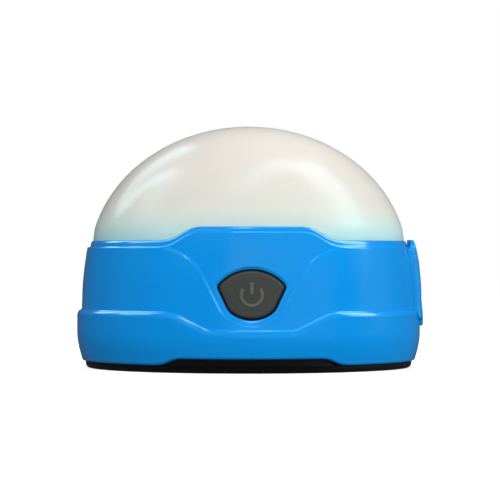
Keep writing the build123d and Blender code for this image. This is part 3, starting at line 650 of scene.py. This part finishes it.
def port_surround(turn, z):
    """Height of the low raised frame round the port cover."""
    y = np.abs(skin_radius(z) * np.cos(turn))
    across = smooth(7.05, 7.3, y) * (1.0 - smooth(8.6, 10.4, y))
    up = smooth(FLARE_TOP - 0.5, FLARE_TOP + 0.3, z) * (1.0 - smooth(17.6, 19.6, z))
    return np.where(np.sin(turn) > 0, FRAME_H * across * up, 0.0)


def dome_radius(z, inset=0.0):
    """Radius of the dome's ellipsoid at a height."""
    rise = DOME_RISE - inset
    return (DOME_R - inset) * np.sqrt(np.maximum(0.0, 1.0 - ((z - DOME_Z) / rise) ** 2))


def housing_turns():
    """Angles from the front, close together round the button."""
    near, step = 0.5, 0.0037
    fine = np.arange(-near, near, step)
    coarse = np.linspace(near, 2 * math.pi - near, 250, endpoint=False)
    return np.concatenate([fine, coarse])


def housing_rows(turn):
    """Rows of (radius, height) from the foot up the outside, over the lip and down inside."""
    x = skin_radius(21.0) * np.sin(turn)
    foot = wave(x, FOOT_LOW, FOOT_HIGH, FOOT_WAVE)
    skin_top = wave(x, SKIN_LOW, SKIN_HIGH, RIM_WAVE)
    lip_top = wave(x, RIM_LOW, RIM_HIGH, RIM_WAVE)
    corner, soft, edge_r = 0.6, 0.28, 0.3         # rounds of the foot, the wall's top and the lip
    level_low, level_high = 6.4, 17.6             # rows between these are level
    start = foot + corner
    heights = [start + (level_low - start) * s for s in np.linspace(0, 1, 18)[:-1]]
    heights += [np.full_like(turn, z) for z in np.arange(level_low, level_high, 0.1)]
    heights += [level_high + (skin_top - soft - level_high) * s for s in np.linspace(0, 1, 30)]
    outside = [(outside_radius(turn, z), z) for z in heights]
    first, last = outside[0], outside[-1]
    rows = []
    for a in np.linspace(0, math.pi / 2, 7)[:-1]:
        rows.append((first[0] - corner * (1 - math.sin(a)), foot + corner * (1 - math.cos(a))))
    rows += outside
    edge = dome_radius(skin_top) + LIP_PROUD
    for a in np.linspace(0, math.pi / 2, 7)[1:]:
        inward = np.minimum(soft, last[0] - edge) * (1 - math.cos(a))
        rows.append((last[0] - inward, last[1] + soft * math.sin(a)))
    rows.append((edge + 0.04, skin_top))
    for s in (0.1, 0.5, 1.0):
        z = skin_top + (lip_top - edge_r - skin_top) * s
        rows.append((dome_radius(z) + LIP_PROUD, z))
    for a in np.linspace(0, math.pi / 2, 6)[1:]:
        inward = edge_r * (1 - math.cos(a)) - LIP_PROUD
        rows.append((dome_radius(lip_top) - inward, lip_top - edge_r * (1 - math.sin(a))))
    rows.append((dome_radius(lip_top) - LIP, lip_top))
    for s in (0.3, 0.7, 1.0):
        z = lip_top + (LEDGE - lip_top) * s
        rows.append((dome_radius(z, LIP), z))
    for z in (LEDGE, 17.0, 10.0, 4.5):
        rows.append((np.full_like(turn, BORE_R), np.full_like(turn, z)))
    rows.append((np.full_like(turn, BORE_R), foot))
    return rows


def port_tools():
    """Solids that cut the port's well, its hole and the cover's seats out of the housing."""
    middle = (USB_LOW[2] + USB_HIGH[2]) / 2
    well_y, well_z = 5.25, 2.925              # half sizes of the well
    well_floor, hole_floor, beyond = 26.2, 22.0, 32.0
    usb_low, usb_high = seat(USB_LOW, USB_HIGH)
    slot_low, slot_high = seat(ANCHOR_LOW, ANCHOR_HIGH)
    slot_floor = ANCHOR_LOW[0] - SEAT_GAP
    boxes = [
        ("tool_well", (-well_y, middle - well_z), (well_y, middle + well_z), 0.8, well_floor, beyond),
        ("tool_hole", usb_low, usb_high, 0.5, hole_floor, 30.0),
        ("tool_slot", slot_low, slot_high, 0.2, slot_floor, beyond),
    ]
    tools = []
    for name, low, high, corner, near, far in boxes:
        centre = np.array([0.0, (low[1] + high[1]) / 2])
        outline = box_outline(low, high, corner)
        tools.append(plate(name, outline, centre, [(0.0, near), (0.0, far)], facing_right, None))
    hinge = np.array([HINGE[0], HINGE[2]])
    knuckle_r, reach = 0.57, 4.2
    tools.append(plate("tool_knuckle", circle(hinge, knuckle_r), hinge,
                       [(0.0, -reach), (0.0, reach)], facing_front, None))
    return tools


def seat(low, high):
    """(y, z) corners of the seat of a piece that has this box."""
    return (low[1] - SEAT_GAP, low[2] - SEAT_GAP), (high[1] + SEAT_GAP, high[2] + SEAT_GAP)


def box_outline(low, high, corner):
    """Rectangle between two corners, rounded."""
    (x0, y0), (x1, y1) = low, high
    parts = [
        straight((x0, y0), (x1, y0), 24),
        straight((x1, y0), (x1, y1), 24),
        straight((x1, y1), (x0, y1), 24),
        straight((x0, y1), (x0, y0), 24),
    ]
    return resampled(rounded(parts, corner), 96)


def facing_right(u, v, out):
    """(y, z) drawn on the right side, with x as the level."""
    return np.column_stack([np.full_like(u, out), u, v])


def make_housing():
    """Blue shell as one closed mesh, with the button's opening and the port cut through."""
    turn = housing_turns()
    vertices = []
    rows = housing_rows(turn)
    for radius, height in rows:
        vertices.append(np.column_stack([radius * np.sin(turn), -radius * np.cos(turn), height]))
    faces = ring_faces(len(rows), len(turn), closed_rows=True)
    shell = new_object("housing_shell", np.concatenate(vertices), faces, MATERIALS["shell_blue"])
    opening = plate("tool_opening", button_outline(), np.array(CAP_MIDDLE),
                    [(0.0, -32.0), (0.0, -22.0)], facing_front, None)
    cut(shell, opening, *port_tools())
    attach(shell, "lantern")
    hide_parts("housing")


# ---- dome -------------------------------------------------------------------------------------
def make_dome():
    """Milky dome with its rebate behind the lip, its skirt and its seal groove."""
    turn = np.linspace(0.0, 2 * math.pi, 360, endpoint=False)
    x = DOME_R * np.sin(turn)
    lip_top = wave(x, RIM_LOW, RIM_HIGH, RIM_WAVE) + 0.02
    rebate, tuck, blend = 0.5, 0.25, 2.5      # behind the lip, just above it, and how far up
    level = np.ones_like(turn)
    rows = []
    for s in np.linspace(0.0, 1.0, 5):
        z = LEDGE + (lip_top - LEDGE) * s
        rows.append((dome_radius(z, rebate), z))
    start = np.arcsin((lip_top - DOME_Z) / DOME_RISE)
    for s in np.linspace(0.0, 1.0, 73)[:-1]:
        a = start + (math.pi / 2 - start) * s
        z = DOME_Z + DOME_RISE * np.sin(a)
        rows.append((DOME_R * np.cos(a) - tuck * (1.0 - smooth(0.0, blend, z - lip_top)), z))
    outer_rows = len(rows)
    wide, rise = DOME_R - DOME_WALL, DOME_RISE - DOME_WALL
    shoulder = LEDGE + 0.4                    # where the inside of the dome meets its skirt
    start = math.asin((shoulder - DOME_Z) / rise)
    for s in np.linspace(1.0, 0.0, 41)[1:]:
        a = start + (math.pi / 2 - start) * s
        rows.append((wide * math.cos(a) * level, (DOME_Z + rise * math.sin(a)) * level))
    bottom = DOME_LOW[2]
    skirt_in, skirt_out = 24.0, 25.6
    groove_in, groove_low, groove_high = 24.8, 19.0, 19.9
    skirt = [
        (skirt_in, shoulder),
        (skirt_in, bottom),
        (skirt_out, bottom),
        (skirt_out, groove_low),
        (groove_in, groove_low),
        (groove_in, groove_high),
        (skirt_out, groove_high),
        (skirt_out, LEDGE),
    ]
    for radius, z in skirt:
        rows.append((radius * level, z * level))
    columns = len(turn)
    vertices = [np.column_stack([r * np.sin(turn), -r * np.cos(turn), z]) for r, z in rows]
    poles = np.array([[0.0, 0.0, TOP], [0.0, 0.0, TOP - DOME_WALL]])
    faces = ring_faces(outer_rows, columns)
    inner = len(rows) - outer_rows
    for face in ring_faces(inner, columns):
        faces.append(tuple(i + outer_rows * columns for i in face))
    top_row = (outer_rows - 1) * columns
    last_row = (len(rows) - 1) * columns
    outer_pole, inner_pole = len(rows) * columns, len(rows) * columns + 1
    for j in range(columns):
        k = (j + 1) % columns
        faces.append((top_row + j, top_row + k, outer_pole))
        faces.append((top_row + columns + k, top_row + columns + j, inner_pole))
        faces.append((last_row + j, last_row + k, k, j))
    dome = new_object("dome_shell", np.concatenate(vertices + [poles]), faces, MATERIALS["dome_milky"])
    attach(dome, "lantern")
    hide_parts("diffuser_dome")


# ---- button -----------------------------------------------------------------------------------
def make_button():
    """Rubber cap with soft edges, and the nub behind it that presses the switch."""
    thick, edge_r = 3.2, 0.4
    levels = [(0.0, -thick)] + round_edge(edge_r, 0.0, 6)
    cap = plate("button_cap", grown(button_outline(), -CAP_GAP), np.array(CAP_MIDDLE), levels,
                on_cylinder(CAP_R), MATERIALS["button_rubber"], 60.0)
    middle, nub_r, nub_long, bevel = np.array([0.0, 12.5]), 1.5, 2.4, 0.2
    back = CAP_HIGH[1]
    levels = [(0.0, back - nub_long), (0.0, back - bevel), (bevel, back)]
    nub = plate("button_nub", circle(middle, nub_r, 48), middle, levels,
                facing_front, MATERIALS["button_rubber"])
    join([cap, nub])
    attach(cap, "button")
    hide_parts("power_button")


def make_symbol():
    """Raised power symbol: an open ring and a bar, with soft edges."""
    middle, outer, stroke = np.array(CAP_MIDDLE), 1.94, 0.56
    start, end = math.radians(52), math.radians(308)
    turns = np.linspace(start, end, 72)
    around_out = np.column_stack([np.sin(turns), np.cos(turns)])
    arc_line = middle + (outer - stroke / 2) * around_out
    bar_top, bar_bottom = 14.75, 12.35
    bar_line = np.linspace((0.0, bar_top - stroke / 2), (0.0, bar_bottom + stroke / 2), 16)
    ring = ribbon("symbol_ring", arc_line, stroke)
    bar = ribbon("symbol_bar", bar_line, stroke * 1.15)
    join([ring, bar])
    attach(ring, "button")
    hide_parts("button_symbol")


def ribbon(name, line, width):
    """Flat raised stroke along a line on the cap, with round shoulders and square ends."""
    along = np.gradient(line, axis=0)
    along /= np.linalg.norm(along, axis=1)[:, None]
    across = np.column_stack([along[:, 1], -along[:, 0]])
    half, root, high, crown, bevel = width / 2, -0.3, 0.12, 0.14, 0.06
    section = [
        (-half, root),
        (-half, high - bevel),
        (-half + bevel, high),
        (0.0, crown),
        (half - bevel, high),
        (half, high - bevel),
        (half, root),
    ]
    place = on_cylinder(CAP_R)
    rings = []
    for side, out in section:
        points = line + side * across
        rings.append(place(points[:, 0], points[:, 1], out))
    vertices = np.stack(rings, axis=1).reshape(-1, 3)
    count = len(section)
    faces = ring_faces(len(line), count)
    faces.append(tuple(range(count)))
    faces.append(tuple(range(len(vertices) - 1, len(vertices) - 1 - count, -1)))
    return new_object(name, vertices, faces, MATERIALS["symbol_rubber"], 50.0)


# ---- port cover -------------------------------------------------------------------------------
def cover_outline():
    """Strip seen from the side, as (y, z): wide, with a narrower pull lip and hinge tongue."""
    half, narrow = 7.0, 4.0
    foot, end = 8.2, HINGE[2] - 0.3
    shoulder, top = 19.7, COVER_HIGH[2]
    corners = [
        (-half, foot), (-narrow, foot), (-narrow, end), (narrow, end), (narrow, foot), (half, foot),
        (half, shoulder), (narrow + 0.4, shoulder + 0.4), (narrow, top), (-narrow, top),
        (-narrow - 0.4, shoulder + 0.4), (-half, shoulder),
    ]
    pairs = zip(corners, corners[1:] + corners[:1])
    parts = [straight(a, b, 60) for a, b in pairs]
    return anticlockwise(resampled(rounded(parts, 0.38), 280))


def cover_back(z):
    """Inner radius of the cover, just clear of the housing."""
    over_flare = FLARE_R + 0.06
    over_skin = skin_radius(z) + 0.04
    under_pull = 27.22
    back = over_flare + (over_skin - over_flare) * smooth(8.9, 10.1, z)
    return back + (under_pull - back) * smooth(19.75, 20.3, z)


def cover_front(z):
    """Outer radius of the cover."""
    heights = [HINGE[2] - 0.5, 9.0, 11.2, 14.5, 17.6, 19.6, 20.3, COVER_HIGH[2]]
    radii = [29.28, 29.25, 29.05, 28.9, 28.6, 28.2, 28.05, 27.7]
    return np.interp(z, heights, radii)


def on_cover(u, v, level):
    """(y, z) on the strip; level 0 is its back and level 1 its front."""
    radius = cover_back(v) + (cover_front(v) - cover_back(v)) * level
    return np.column_stack([np.sqrt(radius**2 - u**2), u, v])


def along_hinge(u, v, depth):
    """(x, z) of the bead's section at a depth y; the bead bends with the flare behind it."""
    back = FLARE_R - math.sqrt(FLARE_R**2 - depth**2)
    return np.column_stack([u - back, np.full_like(u, depth), v])


def make_cover():
    """Blue rubber strip with soft edges, its plug and its hinge bead."""
    edge = [(0.0, 0.02), (0.0, 0.6), (0.03, 0.75), (0.1, 0.88), (0.2, 0.96), (0.36, 1.0)]
    centre = np.array([0.0, 14.0])
    fill = np.linspace(0.94, 0.06, 16)
    strip = plate("cover_strip", cover_outline(), centre, edge, on_cover,
                  MATERIALS["cover_blue"], 50.0, fill)
    middle = (USB_LOW[2] + USB_HIGH[2]) / 2
    half, below, above = 5.0, 2.7, 2.4
    outline = box_outline((-half, middle - below), (half, middle + above), 0.8)
    levels = [(0.3, 26.45), (0.0, 26.8), (0.0, 28.4)]
    plug = plate("cover_plug", outline, np.array([0.0, middle]), levels,
                 facing_right, MATERIALS["cover_blue"], 40.0)
    hinge = np.array([HINGE[0], HINGE[2]])
    bead_r, reach, bevel = 0.34, 3.6, 0.1
    straight_part = [(0.0, y) for y in np.linspace(bevel - reach, reach - bevel, 9)]
    levels = [(bevel, -reach)] + straight_part + [(bevel, reach)]
    bead = plate("cover_bead", circle(hinge, bead_r), hinge, levels, along_hinge,
                 MATERIALS["cover_blue"])
    join([strip, plug, bead])
    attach(strip, "port_cover")
    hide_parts("port_cover")


# ---- CAD nodes that stay ----------------------------------------------------------------------
def dress_cad():
    """Gives every CAD node the material of its slot in the record."""
    slots = {row["node"]: row["material_slot"] for row in frame["record"]["subparts"]}
    for node, obj in frame["nodes"].items():
        obj.data.materials.clear()
        obj.data.materials.append(MATERIALS[slots[node]])


# ---- the scene --------------------------------------------------------------------------------
scene.view_settings.view_transform = "Standard"
make_camera()
make_world()
make_floor()
make_lights()
dress_cad()
make_housing()
make_dome()
make_button()
make_symbol()
make_cover()
